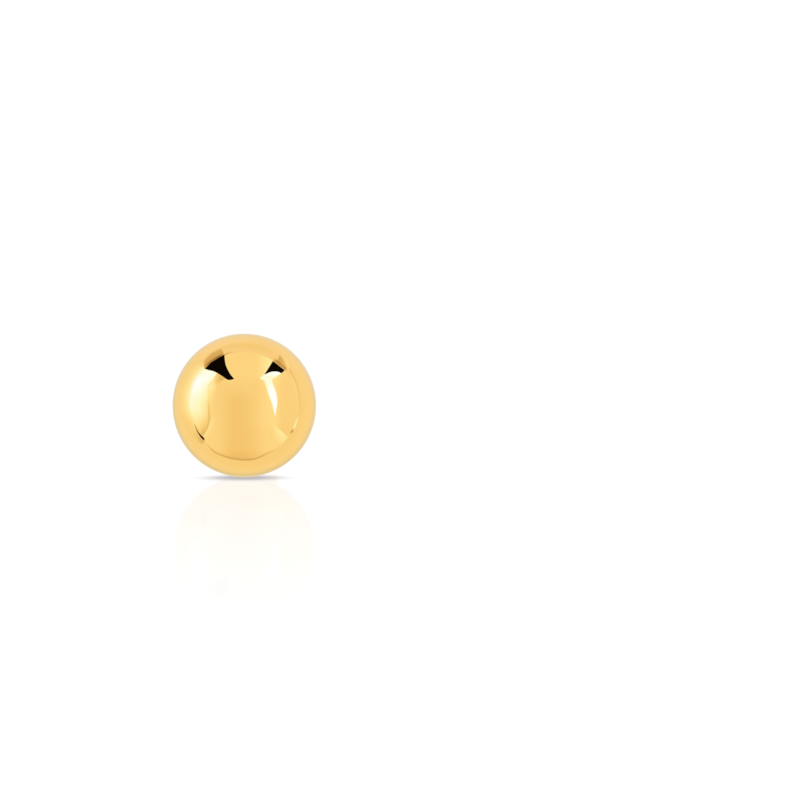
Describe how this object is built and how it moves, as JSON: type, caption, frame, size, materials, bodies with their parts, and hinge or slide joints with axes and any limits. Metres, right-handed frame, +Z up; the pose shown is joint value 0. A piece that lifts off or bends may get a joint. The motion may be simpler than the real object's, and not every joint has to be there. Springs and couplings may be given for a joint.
{
  "type": "ball stud earring",
  "caption": "Polished gold ball on a straight post with a rolled-sheet butterfly back, lying unworn on its ball and its back.",
  "frame": {"origin": "middle of the earring's footprint as it rests, on the surface", "axes": "+Z up; the ball faces -Y; the post runs towards +Y and slopes down by 7.2 degrees; +X to the right seen from the front"},
  "size_m": [0.008, 0.019, 0.008],
  "materials": {
    "polished_gold": "mirror-polished yellow gold"
  },
  "bodies": {
    "root": {"ball_and_post": "polished_gold", "butterfly_back": "polished_gold"}
  },
  "joints": []
}
